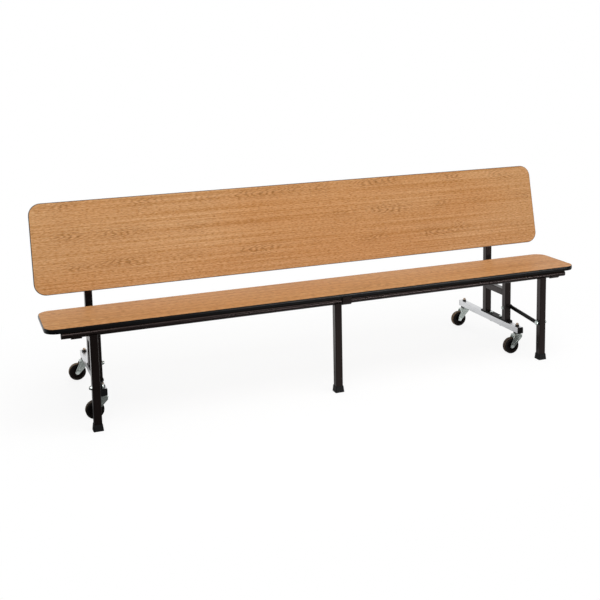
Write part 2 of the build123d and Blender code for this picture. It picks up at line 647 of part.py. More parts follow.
# Casters: fork, axle, wheel and tread at each end of each bar
wheel_r = WHEEL_D / 2
hub_r = wheel_r - TREAD
half_width = WHEEL_WIDTH / 2
crown_top = BAR_BOTTOM - STEM_FLANGE - RACE_GAP - RACE_HEIGHT
crown_base = crown_top - FORK_CROWN
fork_in = half_width + FORK_GAP
fork_out = fork_in + FORK_PLATE
for caster_name, stem_x, stem_y in (
    ("front_left", -END_X, STEM_FRONT_Y),
    ("front_right", END_X, STEM_FRONT_Y),
    ("rear_left", -END_X, STEM_REAR_Y),
    ("rear_right", END_X, STEM_REAR_Y),
):
    axle_x = stem_x - CASTER_TRAIL
    crown_x = stem_x - (FORK_REAR - FORK_FRONT) / 2
    plate_length = FORK_REAR + FORK_FRONT - 2 * FORK_CORNER
    to_crown = Vector(crown_x - axle_x, wheel_r - crown_top).normalized()
    rib_foot = Vector(axle_x, -wheel_r) + to_crown * FORK_RIB_START
    across = Plane((axle_x, stem_y, wheel_r), x_dir=(0, 1, 0), z_dir=(1, 0, 0))
    axle_line = Axis((axle_x, stem_y, wheel_r), (0, 1, 0))

    with BuildPart() as fork:
        with BuildSketch(Plane.XY.offset(crown_base)):
            with Locations((crown_x, stem_y)):
                RectangleRounded(FORK_REAR + FORK_FRONT, 2 * fork_out, FORK_CORNER)
        extrude(amount=FORK_CROWN)
        with BuildSketch(Plane.XY.offset(crown_top)):
            with Locations((stem_x, stem_y)):
                Circle(RACE_R)
        extrude(amount=RACE_HEIGHT)
        for plate_y, outer_y in ((fork_in, fork_out), (-fork_out, -fork_out)):
            with BuildSketch(Plane((0, stem_y + plate_y, 0), x_dir=(1, 0, 0), z_dir=(0, 1, 0))):
                with Locations((axle_x, -wheel_r)):
                    Circle(FORK_EYE_R)
                with Locations((crown_x, -crown_top)):
                    Rectangle(plate_length, FORK_CROWN_DROP, align=(Align.CENTER, Align.MIN))
                make_hull()
                with Locations((axle_x, -wheel_r)):
                    Circle(AXLE_R, mode=Mode.SUBTRACT)
            extrude(amount=FORK_PLATE)
            with BuildSketch(Plane((0, stem_y + outer_y, 0), x_dir=(1, 0, 0), z_dir=(0, 1, 0))):
                with Locations((rib_foot.X, rib_foot.Y)):
                    Circle(FORK_RIB_R)
                with Locations((crown_x, FORK_CROWN_DROP - crown_top)):
                    Rectangle(FORK_RIB_TOP, FORK_RIB_R, align=(Align.CENTER, Align.MAX))
                make_hull()
            extrude(amount=FORK_RIB_DEPTH if outer_y < 0 else -FORK_RIB_DEPTH, mode=Mode.SUBTRACT)
        with BuildSketch(Plane.XY.offset(crown_base)):
            with Locations((stem_x, stem_y)):
                Circle(STEM_R + PIN_FIT)
        extrude(amount=FORK_CROWN + RACE_HEIGHT, mode=Mode.SUBTRACT)
    save(fork, f"caster_fork_{caster_name}")

    with BuildPart() as axle:
        with BuildSketch(Plane((axle_x, stem_y - fork_out, wheel_r), x_dir=(1, 0, 0), z_dir=(0, 1, 0))):
            Circle(AXLE_R)
        extrude(amount=2 * fork_out)
        for end_y, outward in ((stem_y - fork_out, -1), (stem_y + fork_out, 1)):
            with BuildSketch(Plane((axle_x, end_y, wheel_r), x_dir=(1, 0, 0), z_dir=(0, outward, 0))):
                RegularPolygon(HEX_R, 6)
            extrude(amount=AXLE_HEAD)
    save(axle, f"caster_axle_{caster_name}")

    with BuildPart() as wheel:
        with BuildSketch(across):
            with BuildLine():
                Polyline(
                    (0, AXLE_R + PIN_FIT),
                    (half_width, AXLE_R + PIN_FIT),
                    (half_width, HUB_BOSS_R),
                    (HUB_WEB / 2, HUB_BOSS_R),
                    (HUB_WEB / 2, hub_r - HUB_RIM),
                    (half_width - FORK_GAP, hub_r - HUB_RIM),
                    (half_width - FORK_GAP, hub_r),
                    (0, hub_r),
                    close=True,
                )
            make_face()
            mirror(about=Plane.YZ)
        revolve(axis=axle_line)
    save(wheel, f"caster_wheel_{caster_name}")

    with BuildPart() as tread:
        with BuildSketch(across):
            with Locations((0, hub_r)):
                Rectangle(WHEEL_WIDTH, TREAD, align=(Align.CENTER, Align.MIN))
            fillet(vertices().group_by(Axis.Y)[-1], radius=TREAD_ROUND)
        revolve(axis=axle_line)
    save(tread, f"caster_tread_{caster_name}")

# Caster stems: a threaded stem through the bar with a flange under it and a nut and tip above
stems_at = [(END_X, STEM_FRONT_Y), (END_X, STEM_REAR_Y)]
with BuildPart() as caster_stems:
    with BuildSketch(Plane.XY.offset(BAR_BOTTOM - STEM_FLANGE)):
        with Locations(*stems_at):
            Circle(RACE_R)
    extrude(amount=STEM_FLANGE)
    with BuildSketch(Plane.XY.offset(crown_base - RACE_GAP)):
        with Locations(*stems_at):
            Circle(STEM_R)
    extrude(amount=BAR_TOP + STEM_NUT + STEM_TIP - crown_base + RACE_GAP)
    fillet(caster_stems.faces().group_by(Axis.Z)[-1].edges(), radius=STEM_TIP_ROUND)
    with BuildSketch(Plane.XY.offset(crown_base - RACE_GAP)):
        with Locations(*stems_at):
            Circle(STEM_NUT_R)
    extrude(amount=-STEM_FLANGE)
    with BuildSketch(Plane.XY.offset(BAR_TOP)):
        with Locations(*stems_at):
            RegularPolygon(STEM_NUT_R, 6)
    extrude(amount=STEM_NUT)
    mirror(about=Plane.YZ)
save(caster_stems, "caster_stems")
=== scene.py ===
# %% [markdown]
# # A mobile convertible bench
# The bench has a seat that folds up together with its front legs, and a backrest that tilts back to
# become a table top. Its pieces come from the CAD model, already at their real size and place.
# This lesson gives each piece the finish of its real material, adds the small things that a
# workshop leaves behind, such as screws, threads and weld beads, and takes a portrait.

import math

import bmesh
import bpy
from mathutils import Matrix, Vector


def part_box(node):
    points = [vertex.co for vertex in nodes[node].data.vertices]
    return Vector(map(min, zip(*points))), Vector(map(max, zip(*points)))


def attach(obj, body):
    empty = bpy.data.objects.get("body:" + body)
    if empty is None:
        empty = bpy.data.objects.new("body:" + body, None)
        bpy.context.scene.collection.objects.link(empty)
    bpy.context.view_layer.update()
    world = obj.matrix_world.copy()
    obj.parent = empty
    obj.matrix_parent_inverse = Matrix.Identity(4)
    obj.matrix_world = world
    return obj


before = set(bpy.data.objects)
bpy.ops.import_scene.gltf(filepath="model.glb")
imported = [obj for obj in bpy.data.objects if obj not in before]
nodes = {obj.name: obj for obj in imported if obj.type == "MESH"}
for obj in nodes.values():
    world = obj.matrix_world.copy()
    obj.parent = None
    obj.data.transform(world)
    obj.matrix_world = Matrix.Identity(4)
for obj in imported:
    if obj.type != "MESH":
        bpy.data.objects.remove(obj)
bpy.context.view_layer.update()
MM = 0.001


def box_mm(node):
    """A node's lowest and highest corners in millimetres."""
    low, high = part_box(node)
    return Vector(low) / MM, Vector(high) / MM


# %% [markdown]
# ## The camera
# A product picture like this one is taken from standing height with a longish lens, turned a little to
# the right of the bench's own front and tipped down at it. Tipping makes upright posts lean together.
# Shifting the picture down on the lens needs less tip for the same framing, so the posts stay nearly
# parallel.

# %% Camera
IMAGE_PX = 600
FOCAL_PX = 966.5
SENSOR_MM = 36.0
CAMERA_AT = Vector((-1.5638, -4.0103, 1.5261))
CAMERA_YAW = 20.82
CAMERA_PITCH = 8.47
CAMERA_ROLL = 1.20
PICTURE_SHIFT = -0.2

camera_data = bpy.data.cameras.new("portrait_camera")
camera_data.sensor_width = SENSOR_MM
camera_data.lens = FOCAL_PX / IMAGE_PX * SENSOR_MM
camera_data.shift_y = PICTURE_SHIFT
camera = bpy.data.objects.new("portrait_camera", camera_data)
bpy.context.scene.collection.objects.link(camera)
camera.matrix_world = (
    Matrix.Translation(CAMERA_AT)
    @ Matrix.Rotation(math.radians(-CAMERA_YAW), 4, "Z")
    @ Matrix.Rotation(math.radians(90 - CAMERA_PITCH), 4, "X")
    @ Matrix.Rotation(math.radians(-CAMERA_ROLL), 4, "Z")
)
bpy.context.scene.camera = camera
print("lens", round(camera_data.lens, 1), "mm")

# %% [markdown]
# ## Helpers for every finish
# Colours are written as the hex codes that a paint chart uses, and one function turns them into the
# linear light that a renderer works in. Shader nodes could be made and joined line by line, but that is
# long. One function adds a node instead: it sets the node's own settings, fills its sockets and feeds
# it from the nodes before it. All finishes start alike, so the last helper makes that start.
# A Mix node keeps sockets for each kind of data, so its colour sockets go by their numbers.

# %% Helpers for materials
MIX_A, MIX_B, MIX_RESULT = 6, 7, 2


def linear(hex_code):
    """Linear red, green, blue and alpha of an sRGB hex colour."""
    shares = [int(hex_code[i:i + 2], 16) / 255 for i in (1, 3, 5)]
    return tuple(s / 12.92 if s <= 0.04045 else ((s + 0.055) / 1.055) ** 2.4 for s in shares) + (1.0,)


def feed(node, links):
    """Joins sources to a node's sockets. A source is a socket, or a node in place of its first output."""
    for name, source in links.items():
        socket = source.outputs[0] if isinstance(source, bpy.types.Node) else source
        node.id_data.links.new(socket, node.inputs[name])


def add_node(tree, kind, settings, links=None):
    """Adds a node. Settings fill its properties, sockets or ramp stops, and links feed its sockets."""
    made = tree.nodes.new("ShaderNode" + kind)
    for name, value in settings.items():
        if name == "stops":
            ramp = made.color_ramp.elements
            while len(ramp) < len(value):
                ramp.new(0.5)
            for stop, (position, hex_code) in zip(ramp, value):
                stop.position = position
                stop.color = linear(hex_code)
        elif isinstance(name, str) and hasattr(made, name):
            setattr(made, name, value)
        else:
            made.inputs[name].default_value = value
    feed(made, links or {})
    return made


def start_material(name, **sockets):
    """A new material with its shader's plain values set, and the place of each point on the piece."""
    material = bpy.data.materials.new(name)
    material.use_nodes = True
    tree = material.node_tree
    shader = tree.nodes["Principled BSDF"]
    for socket, value in sockets.items():
        shader.inputs[socket.replace("_", " ")].default_value = value
    place = add_node(tree, "TexCoord", {}).outputs["Object"]
    return material, tree, shader, place


print("a grey of #808080 is", round(linear("#808080")[0], 3), "in linear light")

# %% [markdown]
# ## Year rings of the oak print
# The seat and the backrest are faced with laminate that carries a printed picture of oak. The print
# shows a flat-sawn board: its year rings are nested arches along a heart line, and between two heart
# lines the grain runs close and straight. A photograph of oak would do it, but a formula keeps the
# grain sharp on both panels. Across a heart line the rings follow a parabola, so the formula is the
# distance along the board plus the squared distance from the heart line. Noise lets the heart lines
# wander and bends the rings, and neighbouring rows of arches point opposite ways.
# All sizes are millimetres on the board.

# %% Year rings
HEART_ROW = 128
ROW_SHIFT = 371
WANDER = 26
ARCH_PITCH = 34
ARCH_CURVE = 0.15
BEND_PITCHES = 2.0
LINE_SHARPNESS = 2.0
HEART_CORE, HEART_REACH = 0.06 * HEART_ROW, 0.30 * HEART_ROW
LINE_OFF_HEART = 0.22


def year_rings(tree, along, across, noise):
    """How dark the ring line is at a place along and across the board."""
    wander = add_node(tree, "MapRange", {"To Min": -WANDER, "To Max": WANDER}, {"Value": noise["wander"]})
    strayed = add_node(tree, "Math", {"operation": "ADD"}, {0: across, 1: wander})
    rows = add_node(tree, "Math", {"operation": "DIVIDE", 1: HEART_ROW}, {0: strayed})
    row = add_node(tree, "Math", {"operation": "FLOOR"}, {0: rows})
    row_start = add_node(tree, "Math", {"operation": "MULTIPLY", 1: HEART_ROW}, {0: row})
    in_row = add_node(tree, "Math", {"operation": "SUBTRACT"}, {0: strayed, 1: row_start})
    from_heart = add_node(tree, "Math", {"operation": "SUBTRACT", 1: HEART_ROW / 2}, {0: in_row})
    odd_row = add_node(tree, "Math", {"operation": "FLOORED_MODULO", 1: 2.0}, {0: row})
    facing = add_node(tree, "Math", {"operation": "MULTIPLY_ADD", 1: 2.0, 2: -1.0}, {0: odd_row})
    shifted = add_node(tree, "Math", {"operation": "MULTIPLY_ADD", 1: ROW_SHIFT}, {0: row, 2: along})
    turned = add_node(tree, "Math", {"operation": "MULTIPLY"}, {0: facing, 1: shifted})
    squared = add_node(tree, "Math", {"operation": "MULTIPLY"}, {0: from_heart, 1: from_heart})
    parabola = add_node(tree, "Math", {"operation": "MULTIPLY_ADD", 1: ARCH_CURVE}, {0: squared, 2: turned})
    bend = add_node(tree, "Math", {"operation": "MULTIPLY", 1: BEND_PITCHES}, {0: noise["bend"]})
    rings = add_node(tree, "Math", {"operation": "MULTIPLY_ADD", 1: 1 / ARCH_PITCH}, {0: parabola, 2: bend})
    angle = add_node(tree, "Math", {"operation": "MULTIPLY", 1: math.tau}, {0: rings})
    wave = add_node(tree, "Math", {"operation": "SINE"}, {0: angle})
    share = add_node(tree, "Math", {"operation": "MULTIPLY_ADD", 1: 0.5, 2: 0.5}, {0: wave})
    line = add_node(tree, "Math", {"operation": "POWER", 1: LINE_SHARPNESS}, {0: share})
    off_heart = add_node(tree, "Math", {"operation": "ABSOLUTE"}, {0: from_heart})
    near_heart = add_node(tree, "MapRange", {
        "From Min": HEART_CORE, "From Max": HEART_REACH, "To Min": 1.0, "To Max": LINE_OFF_HEART,
    }, {"Value": off_heart})
    return add_node(tree, "Math", {"operation": "MULTIPLY"}, {0: line, 1: near_heart})


print("a ring every", ARCH_PITCH, "mm along a heart line, and a heart line every", HEART_ROW, "mm")

# %% [markdown]
# ## Oak-look laminate
# High-pressure laminate is printed paper under a clear melamine skin, pressed against a satin plate,
# so it is half matt and even. Long streaks and short fibres make the light and dark of the wood. The
# rings and the short dark pores are laid over them in one brown. Real pores are a fraction of a
# millimetre wide. Here they are a few millimetres wide, the finest that a picture of the whole bench
# can hold, and coarser and stronger on the seat, which the camera sees at a low angle.
# One noise could carry all of it, but each kind of mark has its own length and width on the board. So a
# table gives the length, width and detail of a stretched noise for each of them.

# %% Oak-look laminate
GRAIN_NOISES = {
    "wander": (420, 128, 1.0),
    "bend": (60, 10, 2.0),
    "cluster": (210, 100, 1.0),
    "streak": (1100, 7, 1.0),
    "fibre": (16, 3.2, 1.0),
    "pore": (15, 3.6, 1.0),
    "blotch": (900, 260, 1.0),
}
STREAK_SHARE, FIBRE_SHARE = 0.45, 0.55
OAK_TONES = [(0.33, "#A97744"), (0.45, "#B98756"), (0.54, "#C29365"), (0.68, "#CEA374")]
OAK_WARMTH = [(0.38, "#FAF1E5"), (0.62, "#FFFFFF")]
OAK_LINE = "#7E5229"
RINGS_SHOW = {"From Min": 0.44, "From Max": 0.60, "To Max": 0.85}
FAINT_RINGS = 0.15
RINGS_BREAK = {"From Min": 0.36, "From Max": 0.62, "To Min": 0.35}
PORES_SHOW = {"From Min": 0.54, "From Max": 0.70}
PORE_DARK = 0.48
SATIN = {"To Min": 0.40, "To Max": 0.52}
FIBRE_RELIEF = {"Strength": 0.12, "Distance": 0.3 * MM}


def oak_laminate(name, lean, start_mm, coarse=1.0, figure=1.0):
    """Laminate with its grain along the bench, on a face that leans by so many degrees from level."""
    material, tree, shader, place = start_material(name, IOR=1.5, Specular_IOR_Level=0.10)
    face = add_node(tree, "Mapping", {
        "Rotation": (math.radians(-lean), 0, 0),
        "Scale": (1 / MM / coarse, 1 / MM / coarse, 1 / MM),
        "Location": start_mm,
    }, {"Vector": place})
    noise = {}
    for noise_name, (long_mm, wide_mm, detail) in GRAIN_NOISES.items():
        scaled = add_node(tree, "Mapping", {
            "Scale": (1 / long_mm, 1 / wide_mm, 1 / wide_mm),
        }, {"Vector": face})
        noise[noise_name] = add_node(tree, "TexNoise", {"Scale": 1.0, "Detail": detail}, {"Vector": scaled})

    fibres = add_node(tree, "Math", {"operation": "MULTIPLY", 1: FIBRE_SHARE}, {0: noise["fibre"]})
    grain = add_node(tree, "Math", {"operation": "MULTIPLY_ADD", 1: STREAK_SHARE}, {
        0: noise["streak"], 2: fibres,
    })
    wood = add_node(tree, "ValToRGB", {"stops": OAK_TONES}, {"Fac": grain})
    warmth = add_node(tree, "ValToRGB", {"stops": OAK_WARMTH}, {"Fac": noise["blotch"]})
    tinted = add_node(tree, "Mix", {"data_type": "RGBA", "blend_type": "MULTIPLY", 0: 1.0}, {
        MIX_A: wood, MIX_B: warmth,
    })

    axes = add_node(tree, "SeparateXYZ", {}, {"Vector": face}).outputs
    rings = year_rings(tree, axes["X"], axes["Y"], noise)
    showing = add_node(tree, "MapRange", {**RINGS_SHOW, "To Min": FAINT_RINGS * figure}, {
        "Value": noise["cluster"],
    })
    arches = add_node(tree, "Math", {"operation": "MULTIPLY"}, {0: rings, 1: showing})
    breaks = add_node(tree, "MapRange", RINGS_BREAK, {"Value": noise["pore"]})
    broken = add_node(tree, "Math", {"operation": "MULTIPLY"}, {0: arches, 1: breaks})
    pores = add_node(tree, "MapRange", {**PORES_SHOW, "To Max": PORE_DARK * figure}, {"Value": noise["pore"]})
    darkest = add_node(tree, "Math", {"operation": "MAXIMUM"}, {0: broken, 1: pores})
    coloured = add_node(tree, "Mix", {"data_type": "RGBA", MIX_B: linear(OAK_LINE)}, {
        0: darkest, MIX_A: tinted.outputs[MIX_RESULT],
    })
    feed(shader, {
        "Base Color": coloured.outputs[MIX_RESULT],
        "Roughness": add_node(tree, "MapRange", SATIN, {"Value": noise["fibre"]}),
        "Normal": add_node(tree, "Bump", FIBRE_RELIEF, {"Height": noise["fibre"]}),
    })
    return material


BACK_LEAN = 12.5
finishes = {
    "seat_laminate": oak_laminate("oak_laminate_seat", 0, (340, 90, 0), coarse=1.6, figure=1.3),
    "back_laminate": oak_laminate("oak_laminate_back", 90 - BACK_LEAN, (-120, 0, 0)),
}
print("laminate on", list(finishes))

# %% [markdown]
# ## Black edge moulding
# The panel edges are capped with a moulded vinyl strip, hammered in by its spine. Extruded vinyl is a
# satin black with faint draw lines along its length, and it shows a soft bright line where it mirrors
# a lamp. It could be one even black, but then it would look like a drawn outline. A noise that is long
# along the bench and narrow across it makes the draw lines. They are 2.5 mm wide, which is coarser than
# life, so that they can show.

# %% Black edge moulding
DRAW_LONG, DRAW_WIDE = 500, 2.5
VINYL_BLACKS = [(0.3, "#040405"), (0.7, "#09090A")]
VINYL_ROUGH = {"To Min": 0.26, "To Max": 0.34}
DRAW_RELIEF = {"Strength": 0.15, "Distance": 0.2 * MM}

vinyl, tree, shader, place = start_material("vinyl_edge_moulding", Specular_IOR_Level=0.2)
scaled = add_node(tree, "Mapping", {
    "Scale": (1 / (DRAW_LONG * MM), 1 / (DRAW_WIDE * MM), 1 / (DRAW_WIDE * MM)),
}, {"Vector": place})
lines = add_node(tree, "TexNoise", {"Scale": 1.0, "Detail": 2.0}, {"Vector": scaled})
feed(shader, {
    "Base Color": add_node(tree, "ValToRGB", {"stops": VINYL_BLACKS}, {"Fac": lines}),
    "Roughness": add_node(tree, "MapRange", VINYL_ROUGH, {"Value": lines}),
    "Normal": add_node(tree, "Bump", DRAW_RELIEF, {"Height": lines}),
})
finishes.update({name: vinyl for name in ("seat_edge_band", "back_edge_band")})
print("moulding on the edges of", sum(finish == vinyl for finish in finishes.values()), "panels")

# %% [markdown]
# ## Plywood board
# Behind the laminate is a plywood board. Its hidden face shows rotary-cut veneer: the knife peels the log
# like a roll of paper, so the year rings spread into wide, wandering figure. It is paler than the oak
# print, and sanded but not varnished, so it is matt. The rings of the oak print could serve here too, but
# peeled veneer has no heart lines. Its figure is a wide noise with contour lines drawn on it, and short
# fibres lie over it. They are 4 mm wide, which is coarser than life, so that they can show.

# %% Plywood board
VENEER_LONG, VENEER_WIDE = 700, 60
VENEER_FIBRE_LONG, VENEER_FIBRE_WIDE = VENEER_LONG / 6, 4
VENEER_CONTOURS = 9
CONTOUR_SHARE, FIGURE_SHARE, VENEER_FIBRE_SHARE = 0.09, 0.55, 0.45
VENEER_TONES = [(0.3, "#B28755"), (0.5, "#D0A674"), (0.7, "#E2BF92")]
SANDED = {"To Min": 0.62, "To Max": 0.78}
SANDED_RELIEF = {"Strength": 0.2, "Distance": 0.3 * MM}


def plywood(name, lean):
    """Sanded veneer with its figure along the bench, on a board that leans by so many degrees."""
    material, tree, shader, place = start_material(name, IOR=1.5, Specular_IOR_Level=0.2)
    face = add_node(tree, "Mapping", {"Rotation": (math.radians(-lean), 0, 0)}, {"Vector": place})
    wide = add_node(tree, "Mapping", {
        "Scale": (1 / (VENEER_LONG * MM), 1 / (VENEER_WIDE * MM), 1.0),
    }, {"Vector": face})
    fine = add_node(tree, "Mapping", {
        "Scale": (1 / (VENEER_FIBRE_LONG * MM), 1 / (VENEER_FIBRE_WIDE * MM), 1.0),
    }, {"Vector": face})
    figure = add_node(tree, "TexNoise", {"Scale": 1.0, "Detail": 3.0, "Distortion": 0.6}, {"Vector": wide})
    fibre = add_node(tree, "TexNoise", {"Scale": 1.0, "Detail": 2.0}, {"Vector": fine})
    angle = add_node(tree, "Math", {"operation": "MULTIPLY", 1: math.tau * VENEER_CONTOURS}, {0: figure})
    contour = add_node(tree, "Math", {"operation": "SINE"}, {0: angle})
    broad = add_node(tree, "Math", {"operation": "MULTIPLY", 1: FIGURE_SHARE}, {0: figure})
    lined = add_node(tree, "Math", {"operation": "MULTIPLY_ADD", 1: CONTOUR_SHARE}, {0: contour, 2: broad})
    tone = add_node(tree, "Math", {"operation": "MULTIPLY_ADD", 1: VENEER_FIBRE_SHARE}, {0: fibre, 2: lined})
    feed(shader, {
        "Base Color": add_node(tree, "ValToRGB", {"stops": VENEER_TONES}, {"Fac": tone}),
        "Roughness": add_node(tree, "MapRange", SANDED, {"Value": fibre}),
        "Normal": add_node(tree, "Bump", SANDED_RELIEF, {"Height": fibre}),
    })
    return material


finishes["seat_board"] = plywood("plywood_seat", 0)
finishes["back_board"] = plywood("plywood_back", 90 - BACK_LEAN)
print("plywood on", [name for name in finishes if name.endswith("board")])

# %% [markdown]
# ## Paint, plastic and blackened steel
# The frame is black powder coat: dry paint, baked until it flows into a semi-gloss skin with a slight
# orange peel, whose black is a little warm. The links and the base plates are blackened steel, which is
# duller. Caps and feet are moulded polypropylene with a fine spark-eroded texture. The wheel bodies are
# nylon, which is smoother.
# Each could have nodes of its own. But all of them are one plain colour broken up by a fine grain in
# colour and relief, and by wide clouds in colour and gloss, so one function makes each of them from a few
# values. The grain of each is drawn at least 2 mm wide, which is coarser than life but is the finest that
# a picture of the whole bench can hold.

# %% Paint, plastic and blackened steel
CLOUD_GRAINS = 30
GRAIN_SHARE, CLOUD_SHARE = 0.4, 0.6
ROUGH_SPREAD = 0.06
GRAIN_STRENGTH = 0.25
WARM_BLACK = (1.0, 0.78, 0.75, 1.0)


def grained(name, dark, light, grain_mm, rough, relief_mm, gloss, **extra):
    """A plain colour broken up by a grain and by clouds that are many grains wide."""
    material, tree, shader, place = start_material(name, Specular_IOR_Level=gloss, **extra)
    grain = add_node(tree, "TexNoise", {"Scale": 1 / (grain_mm * MM), "Detail": 2.0}, {"Vector": place})
    cloud = add_node(tree, "TexNoise", {
        "Scale": 1 / (grain_mm * MM * CLOUD_GRAINS), "Detail": 3.0,
    }, {"Vector": place})
    clouded = add_node(tree, "Math", {"operation": "MULTIPLY", 1: CLOUD_SHARE}, {0: cloud})
    tone = add_node(tree, "Math", {"operation": "MULTIPLY_ADD", 1: GRAIN_SHARE}, {0: grain, 2: clouded})
    feed(shader, {
        "Base Color": add_node(tree, "ValToRGB", {"stops": [(0.35, dark), (0.65, light)]}, {"Fac": tone}),
        "Roughness": add_node(tree, "MapRange", {
            "To Min": rough - ROUGH_SPREAD, "To Max": rough + ROUGH_SPREAD,
        }, {"Value": cloud}),
        "Normal": add_node(tree, "Bump", {
            "Strength": GRAIN_STRENGTH, "Distance": relief_mm * MM,
        }, {"Height": grain}),
    })
    return material


powder_coat = grained("black_powder_coat", "#070403", "#0D0807", 3.0, 0.28, 0.05, 0.38,
                      Specular_Tint=WARM_BLACK)
black_oxide = grained("black_oxide_steel", "#060505", "#0C0A09", 4.0, 0.48, 0.05, 0.12)
polypropylene = grained("black_polypropylene", "#0C0B0B", "#151414", 2.0, 0.46, 0.10, 0.14)
nylon = grained("black_nylon", "#070505", "#0E0B0A", 4.0, 0.30, 0.05, 0.10, Specular_Tint=WARM_BLACK)
print("grained finishes:", [made.name for made in (powder_coat, black_oxide, polypropylene, nylon)])

# %% [markdown]
# ## Rubber treads
# A tread is moulded black rubber. Its rolling face is coloured brown, the
# rear pair of wheels more than the front pair, while its sides stay black. The brown could be painted onto
# each tread by hand. But the sides face along the axle, so the slope of the surface tells them apart on
# all four, and a noise breaks the brown up. Its grain is 5 mm wide, coarser than life, so that it can show.

# %% Rubber treads
TREAD_GRAIN = 5.0
FRONT_BROWN_SHARE = 0.3
SIDE_SLOPE, ROLLED_SLOPE = 0.85, 0.25
FRONT_ENDS, REAR_STARTS = 0, 100
ROLLING_BROWNS = [(0.35, "#4C3E33"), (0.65, "#927C66")]
RUBBER_BLACKS = [(0.35, "#080706"), (0.65, "#110E0B")]
RUBBER_RELIEF = {"Strength": 0.3, "Distance": 0.25 * MM}

rubber, tree, shader, place = start_material("tread_rubber", Specular_IOR_Level=0.15, Roughness=0.62)
slope = add_node(tree, "TexCoord", {}).outputs["Normal"]
axle_slope = add_node(tree, "SeparateXYZ", {}, {"Vector": slope}).outputs["Y"]
along_axle = add_node(tree, "Math", {"operation": "ABSOLUTE"}, {0: axle_slope})
rolled = add_node(tree, "MapRange", {"From Min": SIDE_SLOPE, "From Max": ROLLED_SLOPE}, {"Value": along_axle})
depth = add_node(tree, "SeparateXYZ", {}, {"Vector": place}).outputs["Y"]
pair = add_node(tree, "MapRange", {
    "From Min": FRONT_ENDS * MM, "From Max": REAR_STARTS * MM, "To Min": FRONT_BROWN_SHARE,
}, {"Value": depth})
# The rolling face is coloured brown, less on the front pair than on the rear pair.
browned = add_node(tree, "Math", {"operation": "MULTIPLY"}, {0: rolled, 1: pair})
grain = add_node(tree, "TexNoise", {"Scale": 1 / (TREAD_GRAIN * MM), "Detail": 2.0}, {"Vector": place})
colour = add_node(tree, "Mix", {"data_type": "RGBA"}, {
    0: browned,
    MIX_A: add_node(tree, "ValToRGB", {"stops": RUBBER_BLACKS}, {"Fac": grain}),
    MIX_B: add_node(tree, "ValToRGB", {"stops": ROLLING_BROWNS}, {"Fac": grain}),
})
feed(shader, {
    "Base Color": colour.outputs[MIX_RESULT],
    "Normal": add_node(tree, "Bump", RUBBER_RELIEF, {"Height": grain}),
})
print("dust grains", TREAD_GRAIN, "mm wide")

# %% [markdown]
# ## Plated steel
# The caster bars are bright chrome plate with faint draw streaks along them, which mirrors the white room
# as a light silver. Bolts and axles are zinc plate, a little greener, with cloudy patches from the plating
# bath. The caster forks are pressed from sheet and zinc plated. Their plate is a darker copy of the zinc, as
# painted shade in the middle of each leg, and a painted highlight runs along their edges: a bright rim that
# stands in for the light that rounded pressed edges catch. One even silver could stand for all of it, but
# streaks, clouds and the painted highlight tell one plate from another here. A bevel node feels for edges:
# it rounds the surface within a radius, so near an edge it disagrees with the flat surface. The streaks are
# 3 mm wide and the painted highlight reaches 3.5 mm in, which is coarser than life, so that they can show.

# %% Plated steel
# The next values draw a painted highlight, a bright rim along the edges of the forks.
EDGE_R = 3.5
EDGE_SAMPLES = 12
HIGHLIGHT_WHERE = {"From Min": 1.0, "From Max": 0.93}
EDGE_HIGHLIGHT = "#EEF3F0"


def plated(name, dark, light, cloud_mm, rough, rough_spread, metallic=1.0, stretch=1.0):
    """Bright plate with clouds in colour and gloss, which are streaks where they are stretched along Y."""
    material, tree, shader, place = start_material(name, Metallic=metallic)
    scaled = add_node(tree, "Mapping", {
        "Scale": (1 / (cloud_mm * MM), 1 / (cloud_mm * MM * stretch), 1 / (cloud_mm * MM)),
    }, {"Vector": place})
    cloud = add_node(tree, "TexNoise", {"Scale": 1.0, "Detail": 4.0}, {"Vector": scaled})
    feed(shader, {
        "Base Color": add_node(tree, "ValToRGB", {"stops": [(0.35, dark), (0.65, light)]}, {"Fac": cloud}),
        "Roughness": add_node(tree, "MapRange", {
            "To Min": rough - rough_spread, "To Max": rough + rough_spread,
        }, {"Value": cloud}),
    })
    return material


def paint_edge_highlight(material):
    """Paints a highlight, a bright rim, over a plated finish along the edges of its pieces."""
    tree = material.node_tree
    shader = tree.nodes["Principled BSDF"]
    body = shader.inputs["Base Color"].links[0].from_socket
    rounded = add_node(tree, "Bevel", {"samples": EDGE_SAMPLES, "Radius": EDGE_R * MM})
    flat = add_node(tree, "NewGeometry", {}).outputs["Normal"]
    agreement = add_node(tree, "VectorMath", {"operation": "DOT_PRODUCT"}, {0: rounded, 1: flat})
    # Near an edge the colour turns to the painted highlight.
    highlight_share = add_node(tree, "MapRange", HIGHLIGHT_WHERE, {"Value": agreement.outputs["Value"]})
    colour = add_node(tree, "Mix", {"data_type": "RGBA", MIX_B: linear(EDGE_HIGHLIGHT)}, {0: highlight_share, MIX_A: body})
    feed(shader, {"Base Color": colour.outputs[MIX_RESULT]})


chrome = plated("chrome_plate", "#C9CACC", "#DADBDD", 3.0, 0.30, 0.02, stretch=12.0)
zinc = plated("zinc_plate", "#C6CFCC", "#E2E9E6", 9.0, 0.24, 0.04, metallic=0.88)
# The forks are a darker copy of the zinc: painted shade in the middle of each leg, under a painted highlight
# on the edges.
pressed_zinc = plated("zinc_plate_pressed", "#9FA8A3", "#B7BFBA", 9.0, 0.24, 0.03, metallic=0.92)
paint_edge_highlight(pressed_zinc)
print("plated finishes:", [made.name for made in (chrome, zinc, pressed_zinc)])

# %% [markdown]
# ## Pieces in two finishes
# A caster stem is blackened below, where its flange and its nut show, and its bare threaded tip has gone
# a straw colour. A lock pin is turned steel with a black knob moulded on. Either could be cut in two, but
# each is one piece of CAD, so its finish changes at a height or a width instead.

